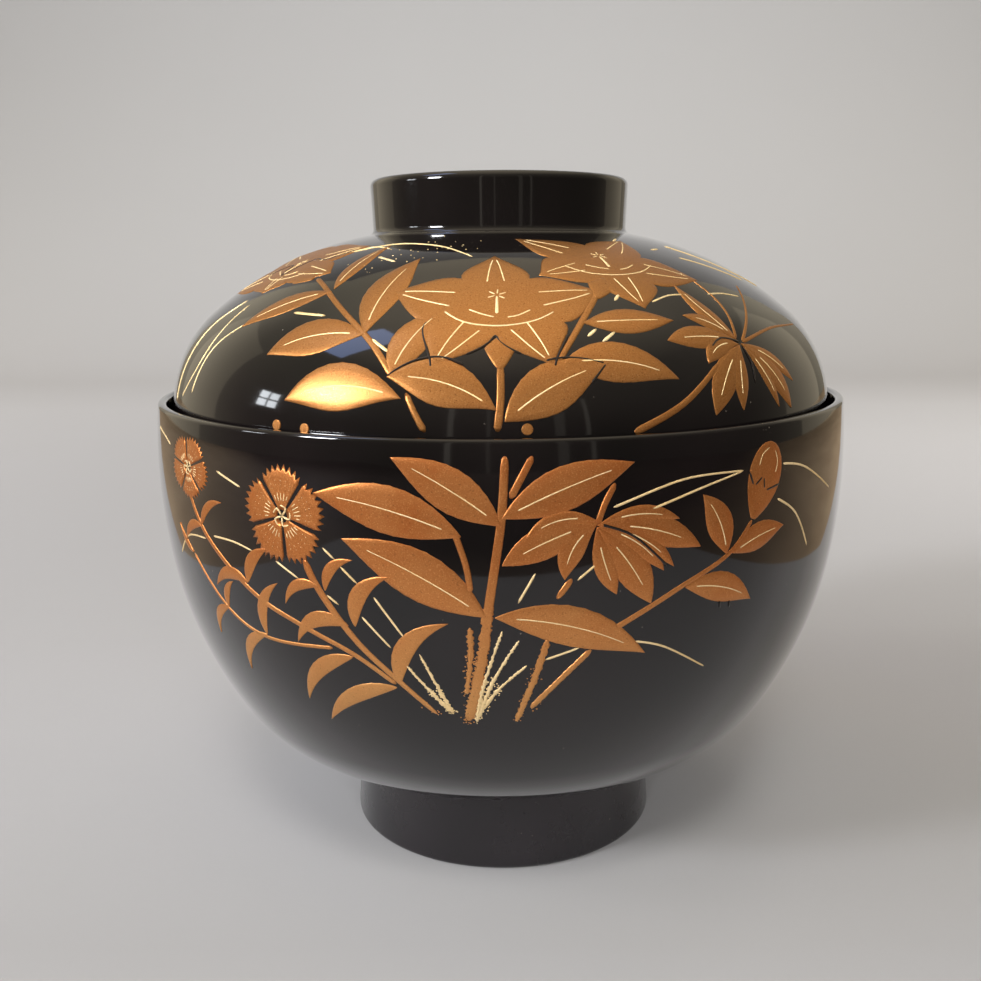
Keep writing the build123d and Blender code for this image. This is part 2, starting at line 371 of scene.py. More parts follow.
# ---- Lacquer coats, lathed fine and closed, each from one seam to the next


def lathe(name, loop, start, end, material, body, slot, node_name):
    """The coat over loop[start:end + 1], one coat thick, in place of that CAD node."""
    normals = normals_of(loop)
    outer = loop[start:end + 1]
    inner = [loop[k] - normals[k] * COAT for k in range(start, end + 1)]
    section = outer + inner[::-1]
    sharp = {0, len(outer) - 1, len(outer), len(section) - 1}
    made = bmesh.new()
    rings = []
    for point in section:
        if point.x < ON_AXIS:
            rings.append([made.verts.new((0.0, 0.0, point.y * MM))])
            continue
        ring = []
        for t in range(TURNS):
            a = 2 * pi * t / TURNS
            ring.append(made.verts.new((point.x * MM * cos(a), point.x * MM * sin(a), point.y * MM)))
        rings.append(ring)
    count = len(section)
    for k in range(count):
        a, b = rings[k], rings[(k + 1) % count]
        if len(a) == 1 and len(b) == 1:
            continue
        for t in range(TURNS):
            u = (t + 1) % TURNS
            corners = [a[t % len(a)], a[u % len(a)], b[u % len(b)], b[t % len(b)]]
            made.faces.new(list(dict.fromkeys(corners))).smooth = True
    for k in sharp:
        if len(rings[k]) > 1:
            for t in range(TURNS):
                made.edges.get((rings[k][t], rings[k][(t + 1) % TURNS])).smooth = False
    bmesh.ops.recalc_face_normals(made, faces=made.faces)
    keep(name, made, material, body, slot, (node_name,))


def seam(loop, numbers, wall_radius, height):
    """Of those of the loop's points that lie on an inner wall, the one nearest to that height."""
    slack = 0.1
    on_wall = [k for k in numbers if loop[k].x < wall_radius + slack]
    return min(on_wall, key=lambda k: abs(loop[k].y - height))


bowl, bowl_outside = bowl_loop()
lid, lid_outside = lid_loop()
lip = nearest(bowl, (RIM[0] - LIP_THICKNESS / 2, RIM[1]))
foot_joint = nearest(bowl, bowl_outside[-1])
foot_inside = seam(bowl, range(foot_joint, len(bowl)), FOOT_RADIUS - FOOT_WALL, FOOT_SEAM_HEIGHT)
ring_outside = nearest(lid, lid_outside[-1])
ring_inside = seam(lid, range(ring_outside), RING_RADIUS - RING_WALL, RING_SEAM_HEIGHT)
edge_bottom = nearest(lid, (LID_EDGE[0] - LID_WALL / 2, LID_EDGE[1] - COAT))

# body, place, CAD layer, profile, its first and last points, finish
COATS = (
    ("bowl", "inside", "inner", bowl, 0, lip, BLACK),
    ("bowl", "outside", "outer", bowl, lip, foot_joint, BLACK),
    ("bowl", "foot", "foot", bowl, foot_joint, foot_inside, SATIN),
    ("bowl", "underside", "underside", bowl, foot_inside, len(bowl) - 1, SATIN),
    ("lid", "ring_floor", "ring_floor", lid, 0, ring_inside, BLACK),
    ("lid", "ring", "ring", lid, ring_inside, ring_outside, BLACK),
    ("lid", "outside", "outer", lid, ring_outside, edge_bottom, BLACK),
    ("lid", "inside", "inner", lid, edge_bottom, len(lid) - 1, BLACK),
)
for body, place, layer, profile, first, last, finish in COATS:
    slot = "foot_lacquer" if finish is SATIN else "black_lacquer"
    lathe(f"{body}_{place}_skin", profile, first, last, finish, body, slot, f"{body}_{layer}_lacquer")

# ---- Gold decoration: thin raised shapes laid on the lacquer


class Surface:
    """A turned surface, reached by azimuth in degrees and distance along its profile in millimetres.

    The lid's distance runs up from its edge and the bowl's runs down from its rim; up says which way
    is up the profile.
    """

    def __init__(self, points, up, body):
        self.points, self.up, self.body = points, up, body
        self.reach = [0.0]
        for a, b in zip(points, points[1:]):
            self.reach.append(self.reach[-1] + (b - a).length)
        self.normals = [n if n.x > 0 else -n for n in normals_of(points)]

    def spot(self, along):
        k = max(0, min(bisect_right(self.reach, along) - 1, len(self.points) - 2))
        t = (along - self.reach[k]) / (self.reach[k + 1] - self.reach[k])
        return self.points[k].lerp(self.points[k + 1], t), self.normals[k].lerp(self.normals[k + 1], t)

    def at(self, azimuth, along, lift):
        point, normal = self.spot(along)
        point = point + normal * lift
        a = radians(azimuth)
        return Vector((point.x * sin(a), -point.x * cos(a), point.y)) * MM

    def radius(self, along):
        return self.spot(along)[0].x

    def shift(self, origin, x, y):
        """The place that lies x mm to the right of origin and y mm up from it."""
        along = origin[1] + self.up * y
        mid = (self.radius(origin[1]) + self.radius(along)) / 2
        return origin[0] + degrees(x / mid), along

    def between(self, a, b):
        """How far b lies to the right of a and above it, in millimetres."""
        mid = (self.radius(a[1]) + self.radius(b[1])) / 2
        return radians(b[0] - a[0]) * mid, self.up * (b[1] - a[1])


LID = Surface(lid_outside, 1, "lid")
BOWL = Surface(bowl_outside, -1, "bowl")
# Heights over the lacquer, in millimetres, of a shape's edge, top, underside and rounded shoulder
SUNK, RAISED, UNDER, SHOULDER = -0.04, 0.1, -0.07, 0.06
COATS_OF_POWDER, POWDER_STEP = 5, 0.004
# Sections of a leaf and of a line: places across, in half widths, and their heights
ACROSS = (-1.0, -0.9, -0.55, -0.12, 0.12, 0.55, 0.9, 1.0)
CROWN = (SUNK, 0.045, 0.09, 0.11, 0.11, 0.09, 0.045, SUNK)
LINE_ACROSS = (-1.0, -0.6, 0.0, 0.6, 1.0)
LINE_CROWN = (SUNK, 0.06, 0.09, 0.06, SUNK)
FLAKE_SIZES = (0.06, 0.17)
VEIN_WIDTH = 0.34
THINNEST = 0.03  # least half width of a leaf, in millimetres
RINGS = tuple(k / 11 for k in range(1, 11)) + (0.97, 1.0)  # rings of a disc, in parts of its size


class Drawing:
    """Gathers shapes of one material on one surface into one piece."""

    def __init__(self, name, surface, material, slot):
        self.name, self.surface, self.material, self.slot = name, surface, material, slot
        self.mesh = bmesh.new()
        self.layer = 0

    def next_base(self, lift):
        """Shapes that overlap lie at slightly different heights, like coats of powder."""
        self.layer += 1
        return lift + POWDER_STEP * (self.layer % COATS_OF_POWDER)

    def vert(self, place, lift):
        return self.mesh.verts.new(self.surface.at(*place, lift))

    def sheet(self, rows, lift):
        """A closed shape from rows of (azimuth, along, height), sunk at its edge and raised inside."""
        base = self.next_base(lift)
        top = [[self.vert((a, s), base + h) for a, s, h in row] for row in rows]
        last, wide = len(rows) - 1, len(rows[0]) - 1
        under = [
            [top[j][i] if i in (0, wide) or j in (0, last) else self.vert((a, s), base + UNDER)
             for i, (a, s, _) in enumerate(row)]
            for j, row in enumerate(rows)
        ]
        for j in range(last):
            for i in range(wide):
                quad = (top[j][i], top[j][i + 1], top[j + 1][i + 1], top[j + 1][i])
                flip = (under[j + 1][i], under[j + 1][i + 1], under[j][i + 1], under[j][i])
                self.mesh.faces.new(quad).smooth = True
                if set(flip) != set(quad):
                    self.mesh.faces.new(flip)

    def disc(self, centre, outline):
        """A closed shape round a centre, from its outline of (x, y) in millimetres."""
        base = self.next_base(0.0)
        heights = [RAISED] * (len(RINGS) - 2) + [SHOULDER, SUNK]

        def ring(size, height):
            return [self.vert(self.surface.shift(centre, x * size, y * size), base + height)
                    for x, y in outline]

        top = [ring(size, height) for size, height in zip(RINGS, heights)]
        under = [ring(size, UNDER) for size in RINGS[:-1]] + [top[-1]]
        count = len(outline)
        for layers, height in ((top, RAISED), (under, UNDER)):
            pole = self.vert(centre, base + height)
            for i in range(count):
                k = (i + 1) % count
                self.mesh.faces.new((pole, layers[0][i], layers[0][k])).smooth = True
                for a, b in zip(layers, layers[1:]):
                    self.mesh.faces.new((a[i], b[i], b[k], a[k])).smooth = True

    def flake(self, place, size, turn):
        """One flake of gold powder, five-sided and pointed on both faces."""
        sides, top, rim = 5, 0.09, 0.02
        poles = (self.vert(place, top), self.vert(place, UNDER))
        ring = []
        for k in range(sides):
            a = turn + 2 * pi * k / sides
            spot = self.surface.shift(place, size * cos(a), size * sin(a))
            ring.append(self.vert(spot, rim))
        for pole in poles:
            for k in range(sides):
                self.mesh.faces.new((pole, ring[k], ring[(k + 1) % sides]))

    def done(self):
        bmesh.ops.recalc_face_normals(self.mesh, faces=self.mesh.faces)
        keep(self.name, self.mesh, self.material, self.surface.body, self.slot)


class Bow:
    """A line bowed sideways from base to tip, measured in millimetres from its base."""

    def __init__(self, surface, base, tip, bow):
        self.surface, self.base, self.bow = surface, base, bow
        self.dx, self.dy = surface.between(base, tip)
        self.length = hypot(self.dx, self.dy)
        self.nx, self.ny = -self.dy / self.length, self.dx / self.length

    def place(self, t, across=0.0):
        """Where t of the way lies, moved to the line's left by that many millimetres."""
        bend, lean = self.bow * 4 * t * (1 - t), self.bow * 4 * (1 - 2 * t)
        slope = atan2(self.dy + lean * self.ny, self.dx + lean * self.nx)
        x = self.dx * t + self.nx * bend - sin(slope) * across
        y = self.dy * t + self.ny * bend + cos(slope) * across
        return self.surface.shift(self.base, x, y)


def swept(drawing, base, tip, half_at, bow, stations, lift=0.0):
    """A shape along a bowed line; half_at(t) gives its half width in millimetres."""
    path = Bow(drawing.surface, base, tip, bow)
    rows = []
    for j, t in enumerate(stations):
        half = max(half_at(t), THINNEST)
        end = j in (0, len(stations) - 1)
        rows.append([
            (*path.place(t, u * half), SUNK if end else height) for u, height in zip(ACROSS, CROWN)
        ])
    drawing.sheet(rows, lift)


def spaced(count):
    """Stations from 0 to 1, closer together at both ends."""
    return [0.5 - 0.5 * cos(pi * k / count) for k in range(count + 1)]


def curve_through(surface, points, step):
    """A smooth run through the points, with a place every step millimetres or so."""
    ends = [points[0], *points, points[-1]]
    run = []
    for k in range(1, len(ends) - 2):
        p0, p1, p2, p3 = (Vector(p) for p in ends[k - 1:k + 3])
        count = max(3, ceil(hypot(*surface.between(p1, p2)) / step))
        for j in range(count):
            t = j / count
            run.append((2 * p1 + (p2 - p0) * t + (2 * p0 - 5 * p1 + 4 * p2 - p3) * t * t
                        + (3 * p1 - p0 - 3 * p2 + p3) * t ** 3) / 2)
    return run + [Vector(points[-1])]


def stroke(drawing, points, start, end, lift=0.0, ragged=0.0, seed=0):
    """A brush line through (azimuth, along) points, from start to end millimetres wide.

    ragged is how much its sides waver, as a part of its half width.
    """
    surface = drawing.surface
    path = curve_through(surface, points, 0.25 if ragged else 1.2)
    steps = [hypot(*surface.between(a, b)) for a, b in zip(path, path[1:])]
    total, gone = sum(steps), 0.0
    draw = Random(seed)
    rows = []
    for k, p in enumerate(path):
        dx, dy = surface.between(path[max(k - 1, 0)], path[min(k + 1, len(path) - 1)])
        size = max(hypot(dx, dy), 1e-9)
        half = (start + (end - start) * gone / total) / 2
        half *= min(1.0, 0.3 + gone / start, 0.3 + (total - gone) / start)
        sides = [half * (1 + ragged * draw.uniform(-1.0, 0.8)) for _ in range(2)]
        tip = k in (0, len(path) - 1)
        row = []
        for u, height in zip(LINE_ACROSS, LINE_CROWN):
            w = u * sides[u < 0]
            place = surface.shift((p.x, p.y), -dy / size * w, dx / size * w)
            row.append((*place, SUNK if tip else height))
        rows.append(row)
        if k < len(steps):
            gone += steps[k]
    drawing.sheet(rows, lift)


def powder(drawing, points, spread, count, seed):
    """Loose flakes along a line, thinning out away from it."""
    draw = Random(seed)
    run = curve_through(drawing.surface, points, 0.5)
    for _ in range(count):
        p = run[draw.randrange(len(run))]
        spot = drawing.surface.shift((p.x, p.y), draw.gauss(0, spread), draw.gauss(0, spread))
        drawing.flake(spot, draw.uniform(*FLAKE_SIZES), draw.uniform(0, pi))


def ogee(notch, tip):
    """From the notch beside a petal to its tip: a bulge that draws in to a fine point."""
    count = 8
    axis, span = tip.normalized(), tip - notch
    inwards = span - axis * span.dot(axis)
    bulge = notch + span * 0.35 - inwards * 0.5
    neck = tip - axis * span.length * 0.25 - inwards * 0.3
    out = []
    for k in range(count):
        t = k / count
        out.append(notch * (1 - t) ** 3 + bulge * 3 * t * (1 - t) ** 2 + neck * 3 * t * t * (1 - t)
                   + tip * t ** 3)
    return out


class Pattern:
    """The drawings on one surface, and the plants made of them."""

    def __init__(self, prefix, surface, material, pale):
        self.surface = surface
        self.fill = Drawing(prefix + "_gold_leaves", surface, material, "makie_gold")
        self.bloom = Drawing(prefix + "_gold_flowers", surface, material, "makie_gold")
        self.stem = Drawing(prefix + "_gold_stems", surface, material, "makie_gold")
        self.fine = Drawing(prefix + "_pale_lines", surface, pale, "makie_gold")
        self.dark = Drawing(prefix + "_dark_lines", surface, GROOVE, "black_lacquer")

    def done(self):
        for drawing in (self.fill, self.bloom, self.stem, self.fine, self.dark):
            drawing.done()

    def leaf(self, base, tip, width, bow, full=0.47, vein=(0.1, 0.85), thin=1.0, parted=()):
        """A pointed leaf, widest at full of its length, with a fine line along its middle.

        parted gives the runs of its edge, as (side, start, end), that are left dark to part the leaf
        from what it covers; side is 1 for the left.
        """
        power = log(0.5) / log(full)

        def half_at(t):
            return width / 2 * max(0.0, sin(pi * t ** power)) ** thin

        swept(self.fill, base, tip, half_at, bow, spaced(16))
        path = Bow(self.surface, base, tip, bow)
        for side, start, end in parted:
            stations = [start + (end - start) * k / 6 for k in range(7)]
            edge = [path.place(t, side * (half_at(t) + 0.05)) for t in stations]
            stroke(self.dark, edge, 0.4, 0.36, 0.06)
        if vein:
            points = [path.place(vein[0] + (vein[1] - vein[0]) * k / 4) for k in range(5)]
            stroke(self.fine, points, VEIN_WIDTH, VEIN_WIDTH * 0.55, 0.05)

    def lobed(self, base, tips, widths, bows):
        """A leaf of three pointed lobes that part near their tips."""
        for tip, width, bow in zip(tips, widths, bows):
            self.leaf(base, tip, width, bow, 0.55, (0.25, 0.8), 0.9)

    def bellflower(self, centre, tips, notches, parted=()):
        """An open five-pointed flower, from its tips as (x, y), with veins and a stamen.

        Each notch after a tip lies at that part of the way out. parted gives the runs of outline,
        counted in tips, that are left dark to part the flower from what it covers.
        """
        tips = [Vector(t) for t in tips]
        outline = []
        for k, tip in enumerate(tips):
            corners = []
            for other, notch in ((tips[k - 1], notches[k - 1]), (tips[(k + 1) % len(tips)], notches[k])):
                way = (tip.normalized() + other.normalized()).normalized()
                corners.append(way * notch * (tip.length + other.length) / 2)
            outline += ogee(corners[0], tip) + [tip] + ogee(corners[1], tip)[:0:-1]
            side = Vector((-tip.y, tip.x)).normalized()
            for turn in (-1, 1):
                vein = []
                for t in (0.37, 0.54, 0.72, 0.9):
                    spot = tip * t + side * turn * tip.length * 0.14 * (0.93 - t) ** 0.6
                    vein.append(self.surface.shift(centre, spot.x, spot.y))
                stroke(self.fine, vein, VEIN_WIDTH, 0.24, 0.05)
        self.bloom.disc(centre, outline)
        per_tip = len(outline) // len(tips)
        for start, end in parted:
            run = outline[int((start + 0.5) * per_tip):int((end + 0.5) * per_tip) + 1]
            path = [self.surface.shift(centre, spot.x, spot.y) for spot in run]
            stroke(self.dark, path, 0.36, 0.36, 0.05)
        size = sum(t.length for t in tips) / len(tips)
        cup = [self.surface.shift(centre, x * size, y * size)
               for x, y in ((-0.52, -0.08), (-0.3, -0.25), (0.02, -0.3), (0.34, -0.24), (0.56, -0.1))]
        stroke(self.fine, cup, 0.42, 0.3, 0.05)
        curls = (((-0.29, -0.06), (-0.14, -0.14), (0, -0.19)), ((0.34, -0.07), (0.2, -0.16), (0.08, -0.19)))
        for curl in curls:
            path = [self.surface.shift(centre, x * size, y * size) for x, y in curl]
            stroke(self.fine, path, 0.36, 0.3, 0.05)
        self.stamen(centre, size * 0.13)

    def stamen(self, centre, size):
        """A short column under a six-rayed star."""
        shift = self.surface.shift
        foot, head = shift(centre, 0, -size * 1.2), shift(centre, 0, size * 1.1)
        stroke(self.fine, [foot, centre, head], 0.7, 0.4, 0.06)
        for k in range(6):
            a = radians(25 + 60 * k)
            tip = shift(head, size * 0.9 * cos(a), size * 0.9 * sin(a))
            stroke(self.fine, [head, tip], 0.3, 0.24, 0.06)

    def pink(self, centre, size, turn, across=1.0):
        """A pink: five fringed petals, rows of pale dots, and curled stamens.

        turn is the first petal's direction in degrees, and across stretches the flower sideways.
        """
        petals, teeth = 5, 8
        half = 34.5  # half of a petal's angle

        def spot(angle, reach):
            a = radians(angle)
            return self.surface.shift(centre, across * reach * cos(a), reach * sin(a))

        for k in range(petals):
            angle = turn + 360.0 / petals * k
            rows = []
            for t in (0.1, 0.25, 0.4, 0.55, 0.7, 0.82, 0.92, 1.0):
                row = []
                for j in range(2 * teeth + 1):
                    u = j / teeth - 1
                    tooth = (0.1 if j % 2 else -0.05) * t ** 9
                    reach = size * (t * (1 - 0.12 * u * u) + tooth)
                    edge = abs(u) == 1 or t in (0.1, 1.0)
                    place = spot(angle + half * u * (0.88 + 0.12 * t), reach)
                    row.append((*place, SUNK if edge else RAISED))
                rows.append(row)
            self.bloom.sheet(rows, 0.0)
            for u in (-0.62, -0.32, 0.0, 0.32, 0.62):
                inner, outer = (0.26, 0.55) if abs(u) < 0.5 else (0.32, 0.5)
                way = angle + half * u
                stroke(self.fine, [spot(way, size * inner), spot(way, size * outer)], 0.24, 0.16, 0.05)
                for gap in (0.08, 0.17):
                    reach = size * (outer + gap)
                    stroke(self.fine, [spot(way, reach), spot(way, reach + 0.22)], 0.2, 0.2, 0.05)
        for k in range(petals):
            way = turn + 40 + 360.0 / petals * k
            path = [centre, spot(way, size * 0.2), spot(way + 45, size * 0.24)]
            stroke(self.fine, path, 0.34, 0.26, 0.06)

    def calyx(self, top, bottom, width):
        """A pointed cup that joins a flower to its stem."""

        def half_at(t):
            return 0.3 + width / 2 * min(t / 0.35, (1 - t) / 0.65) ** 0.8

        swept(self.bloom, top, bottom, half_at, 0.0, spaced(12), 0.01)

    def bud(self, base, tip, width):
        """A closed bud in its cup, with the cup's toothed edge left dark."""
        widest, foot = 0.58, 0.4  # where along it, and the half width at its base

        def half_at(t):
            if t < widest:
                return foot + (width / 2 - foot) * sin(pi / 2 * t / widest) ** 0.85
            return width / 2 * max(0.0, 1 - ((t - widest) / (1 - widest)) ** 2) ** 0.5

        swept(self.bloom, base, tip, half_at, 0.0, spaced(20))
        path = Bow(self.surface, base, tip, 0.0)
        points = [path.place(t, u * width / 2)
                  for u, t in ((0.99, 0.54), (0.5, 0.38), (0.12, 0.56), (-0.15, 0.38), (-0.99, 0.54))]
        for a, b in zip(points, points[1:]):
            stroke(self.dark, [a, b], 0.42, 0.42, 0.06)
        for turn in (-1, 1):
            points = [path.place(t, turn * width * w) for t, w in ((0.62, 0.26), (0.8, 0.24), (0.93, 0.06))]
            stroke(self.fine, points, 0.28, 0.24, 0.05)

    def whip(self, points, start, end, **more):
        """A stem."""
        stroke(self.stem, points, start, end, **more)

    def hair(self, points, width=0.42, end=0.25, **more):
        """A fine pale line, such as a blade of grass."""
        stroke(self.fine, points, width, end, **more)


# Places in the patterns are (azimuth, distance along the profile). A flower's tips are (x, y) from its
# centre. The front is at azimuth 0.

# Lid
top = Pattern("lid", LID, LID_GOLD, LID_PALE_GOLD)
top.whip([(0, 17), (0, 12), (-0.5, 7.5)], 1.2, 1.3)
top.bellflower(
    (-0.5, 27.5), ((-0.5, 13.5), (-15.8, 3), (-8.3, -11), (7.3, -11), (15.5, 3)),
    (0.57, 0.66, 0.45, 0.68, 0.55), ((1.55, 2.0), (2.25, 2.75), (3.0, 3.35)),
)
top.calyx((0, 21.2), (0, 16.2), 3.9)
top.bellflower(
    (24, 38.5), ((9.5, 9), (-11.5, 10), (-11.5, -4), (0.8, -12.5), (14.5, -6)),
    (0.46, 0.62, 0.56, 0.6, 0.54),
)
top.calyx((20.5, 33.5), (17, 28.6), 3.6)
top.whip([(18, 30.5), (13, 24), (8, 17)], 1.2, 1.0)
top.leaf((-0.5, 10.5), (-16, 15), 7.0, -1.6, 0.52, parted=((-1, 0.4, 1.0),))
top.leaf((0.5, 9), (15, 16.7), 7.4, 1.0, parted=((1, 0.55, 1.0), (-1, 0.82, 1.0)))
top.leaf((9, 17), (26, 14), 6.4, 1.4, 0.42)
top.leaf((13, 23.5), (29, 23.5), 5.0, 0.3)
top.leaf((-13.5, 12), (-32, 11), 7.4, -2.0, 0.52)
top.leaf((-15.5, 15), (-9, 26.5), 6.0, 0.8)
top.whip([(-41, 34), (-34, 30.5), (-21, 21.5), (-15, 15)], 0.9, 1.1)
top.whip([(-13, 13), (-11.5, 10), (-10, 7.5)], 0.9, 1.1)
top.leaf((-21, 21.5), (-38, 17.5), 6.8, -1.6, 0.5)
top.leaf((-21, 21.5), (-18.5, 40), 7.0, 1.2, 0.5)
top.leaf((-33, 30.5), (-49, 22), 4.6, -1.0)
top.leaf((-33, 31), (-32, 45.5), 3.8, 0.8)
top.bellflower((-57, 37), ((-13, 5), (-12, -8), (2, -7.5), (13, -1.5), (10.5, 9)), (0.64,) * 5)
for run in (((-66, 34), (-60, 38), (-57, 34)), ((-57, 34), (-53, 40), (-48, 40), (-42, 44))):
    stroke(top.dark, run, 0.4, 0.4, 0.06)
top.calyx((-49, 34.5), (-42, 33.8), 3.6)
top.whip([(18, 7), (26, 10.5), (34, 16)], 1.3, 0.9)
top.leaf((40, 19.5), (35.5, 31.5), 3.6, 0.9)
top.lobed((40, 19.3), ((26, 20), (31.5, 24.5)), (4.2, 2.8), (-0.7, -0.9))
top.lobed((40.5, 18.8), ((49, 8), (51, 12), (45.5, 8.5)), (3.8, 2.4, 2.2), (0.9, 0.8, 0.4))
top.lobed((40, 18.6), ((31.5, 8.5), (37, 8.8), (32, 16)), (4.6, 3.0, 3.4), (-1.0, -0.7, -1.4))
stroke(top.dark, [(40.3, 19.1), (36.5, 19.9), (33.5, 18.4)], 0.5, 0.35, 0.07)
stroke(top.dark, [(40.5, 18.4), (41, 15.5), (40.5, 12.5)], 0.45, 0.3, 0.07)
for run in (
    ((40, 19.5), (43, 27), (42, 35)), ((41, 19), (49, 25), (57, 31)), ((41, 19), (52, 21), (65, 21)),
):
    top.whip(run, 0.7, 0.35)
for run in (
    ((-62, 9), (-57, 15), (-54, 27)), ((-57, 10), (-54, 18), (-48, 23)), ((-66, 8), (-63, 20), (-57, 28)),
    ((-50, 40), (-41, 43.5), (-30, 46.5), (-16, 45), (-6, 40.5)),
    ((-46, 41), (-38, 45), (-30, 44)), ((27, 27.5), (32, 29), (37, 29)), ((42, 29), (47, 29), (52, 28)),
    ((50, 40), (57, 37), (66, 32)), ((56, 45), (64, 38), (74, 30)),
):
    top.hair(run)
for run in (
    ((-38, 25.5), (-30, 25)), ((-20, 21), (-16, 18.5)), ((-31, 41), (-24, 39)), ((15, 20), (18, 22)),
    ((13, 21), (15, 22.5)), ((20, 28), (22, 29.8)), ((36, 47), (41, 49)), ((44, 43), (49, 43.5)),
):
    top.hair(run, 0.6, 0.5)
for place in ((-33, 7.5), (-28, 7.3), (3.5, 8)):
    top.bloom.disc(place, [(0.8 * cos(pi * k / 8), 0.8 * sin(pi * k / 8)) for k in range(16)])
powder(top.fine, [(-30, 37), (-22, 43), (-12, 46)], 2.6, 45, 21)
top.done()

# Bowl, front
side = Pattern("bowl", BOWL, BOWL_GOLD, BOWL_PALE_GOLD)
side.whip([(0.5, 2), (0, 10.5), (-1, 18), (-2, 25)], 1.3, 1.5)
side.whip([(-1.6, 22), (-2.9, 32), (-5, 42)], 1.6, 1.9, ragged=0.3, seed=3)
side.whip([(-6, 12), (-4.5, 17), (-4, 21)], 1.0, 1.0)
side.whip([(-4.2, 26), (-4.3, 31), (-5, 37)], 1.1, 0.7, ragged=0.45, seed=4)
side.whip([(4, 2), (2.5, 5), (1, 8)], 1.1, 1.2)
side.whip([(14.5, 6), (13, 9), (12, 12)], 1.0, 1.0)
side.whip([(9, 19), (8, 20.5), (7, 22)], 1.1, 1.0)
side.whip([(6, 28), (4.5, 34), (2, 42)], 1.2, 1.0, ragged=0.25, seed=5)
side.whip([(12, 30), (8.5, 34), (4, 39.5)], 1.0, 1.0, ragged=0.12, seed=6)
side.leaf((-5, 13), (-25, 8), 7.0, -1.0)
side.leaf((0, 11.5), (-14, 2.5), 6.2, -0.6)
side.leaf((-2, 24.5), (-21, 14), 7.4, -1.0)
side.leaf((0, 10.5), (17, 3.5), 6.2, 0.6)
side.leaf((-1, 24.5), (20, 31.5), 6.4, 1.7)
side.lobed((12.3, 11.3), ((0, 17), (3, 13.3), (8, 19.2)), (4.8, 2.6, 3.6), (-0.6, -1.5, -1.3))
side.lobed((12, 11.8), ((27, 16.2), (23.5, 11.8), (23, 18.6)), (4.4, 2.6, 2.6), (1.1, 1.2, 1.3))
side.lobed((12, 12), ((20, 23.7), (15, 21.8), (21.5, 19)), (5.2, 3.4, 3.2), (0.7, -0.4, 1.2))
stroke(side.dark, [(12.4, 11.6), (17, 13.6), (22, 18.4)], 0.6, 0.45, 0.07)
side.whip([(15, 27), (24, 22), (32, 18), (36, 13.5)], 1.1, 0.8)
side.bud((36, 13.5), (40, 2.8), 7.4)
side.leaf((31.5, 18), (27, 8.8), 4.8, -0.8)
side.leaf((32.5, 18), (43, 15.5), 4.4, 0.6)
side.leaf((25, 22), (37.5, 26), 4.8, 1.1)
for run in (((31.3, 25.0), (31.5, 26.3)), ((33.1, 25.3), (33.3, 26.5))):
    stroke(side.dark, run, 0.4, 0.4, 0.06)
side.pink((-30, 11.8), 6.9, 90)
side.pink((-51, 7.4), 4.7, 60, 1.3)
side.whip([(-27, 17.5), (-25, 22), (-20, 29.5), (-14, 36), (-9.5, 41)], 1.5, 0.9)
side.whip([(-51, 11), (-47, 17), (-37, 24.5), (-29, 28), (-21, 31.5), (-15, 36)], 1.1, 0.9)
side.whip([(-52, 21), (-44, 28.5), (-36, 31.5), (-24, 31)], 0.7, 0.7)
for base, tip, width, bow in (
    ((-48, 16), (-42, 11.5), 1.5, 1.3), ((-48, 16), (-54, 19.5), 1.6, -1.3),
    ((-38, 23), (-33, 17), 2.2, 1.3), ((-38, 23), (-46, 25), 2.2, -1.8),
    ((-36, 31), (-32, 22), 2.1, 1.8), ((-36, 31), (-43, 39), 2.0, -1.9),
    ((-25, 21.5), (-31, 25), 1.8, -1.6), ((-24, 22), (-19.5, 17), 1.8, 1.5),
    ((-21, 27), (-30, 31), 2.6, -2.4), ((-20, 27), (-14.5, 19), 2.6, 2.1),
    ((-21, 32), (-31, 41.5), 2.7, -2.1), ((-14.5, 36), (-7, 25.5), 3.0, 2.6),
    ((-15, 36.5), (-28, 45), 2.9, -1.9),
    ((-44, 28.3), (-49, 34), 1.7, -1.5), ((-44, 28.3), (-41.5, 23.5), 1.5, 1.0),
    ((-52, 21), (-56, 17), 1.4, 0.6),
):
    side.leaf(base, tip, width, bow, 0.42, None, 0.9)
for run in (
    ((18, 29.3), (23, 31), (31, 36)), ((14, 9.5), (24, 6.4), (34, 6.2)), ((19, 10.2), (27, 7.8), (34, 6.2)),
    ((42, 6.2), (48, 7.5), (58, 12.5)), ((41, 11.2), (46, 14.2), (51, 20.5)),
    ((-58, 22.5), (-53, 18.5), (-47, 17.8)), ((-45, 17), (-40, 17), (-36, 17.8)),
    ((-66, 3), (-61, 4), (-58, 5)),
):
    side.hair(run, 0.42, 0.32)
for run in (
    ((5.5, 31.3), (10.5, 29.5)), ((2, 22.5), (4.3, 18)), ((9.5, 19.5), (12.3, 17)),
    ((-32, 18.5), (-28, 20.8)),
    ((-43, 6.8), (-37.5, 8.6)), ((-24, 15.5), (-22, 17.3)), ((-21.5, 18), (-19, 20.5)),
    ((-17, 22), (-13, 28.2)), ((-19, 25.2), (-15, 30)), ((-24, 22.5), (-22, 24)),
):
    side.hair(run, 0.42, 0.36)
for seed, (a, b, c, width) in enumerate((
    ((-3.8, 42), (-2.5, 35), (0, 26.5), 0.8), ((-3.6, 41.3), (-1, 34), (2.2, 28), 0.8),
    ((-3.2, 40.3), (-0.5, 36), (3.3, 32), 0.7),
    ((-7.3, 40.5), (-9, 36), (-11.2, 30.5), 0.9), ((-7.5, 40.3), (-10, 37), (-13.2, 32.5), 0.8),
)):
    side.hair([a, b, c], width, 0.4, ragged=0.55, seed=seed + 11)
    powder(side.fine, [a, b], 0.3, 45, seed + 41)
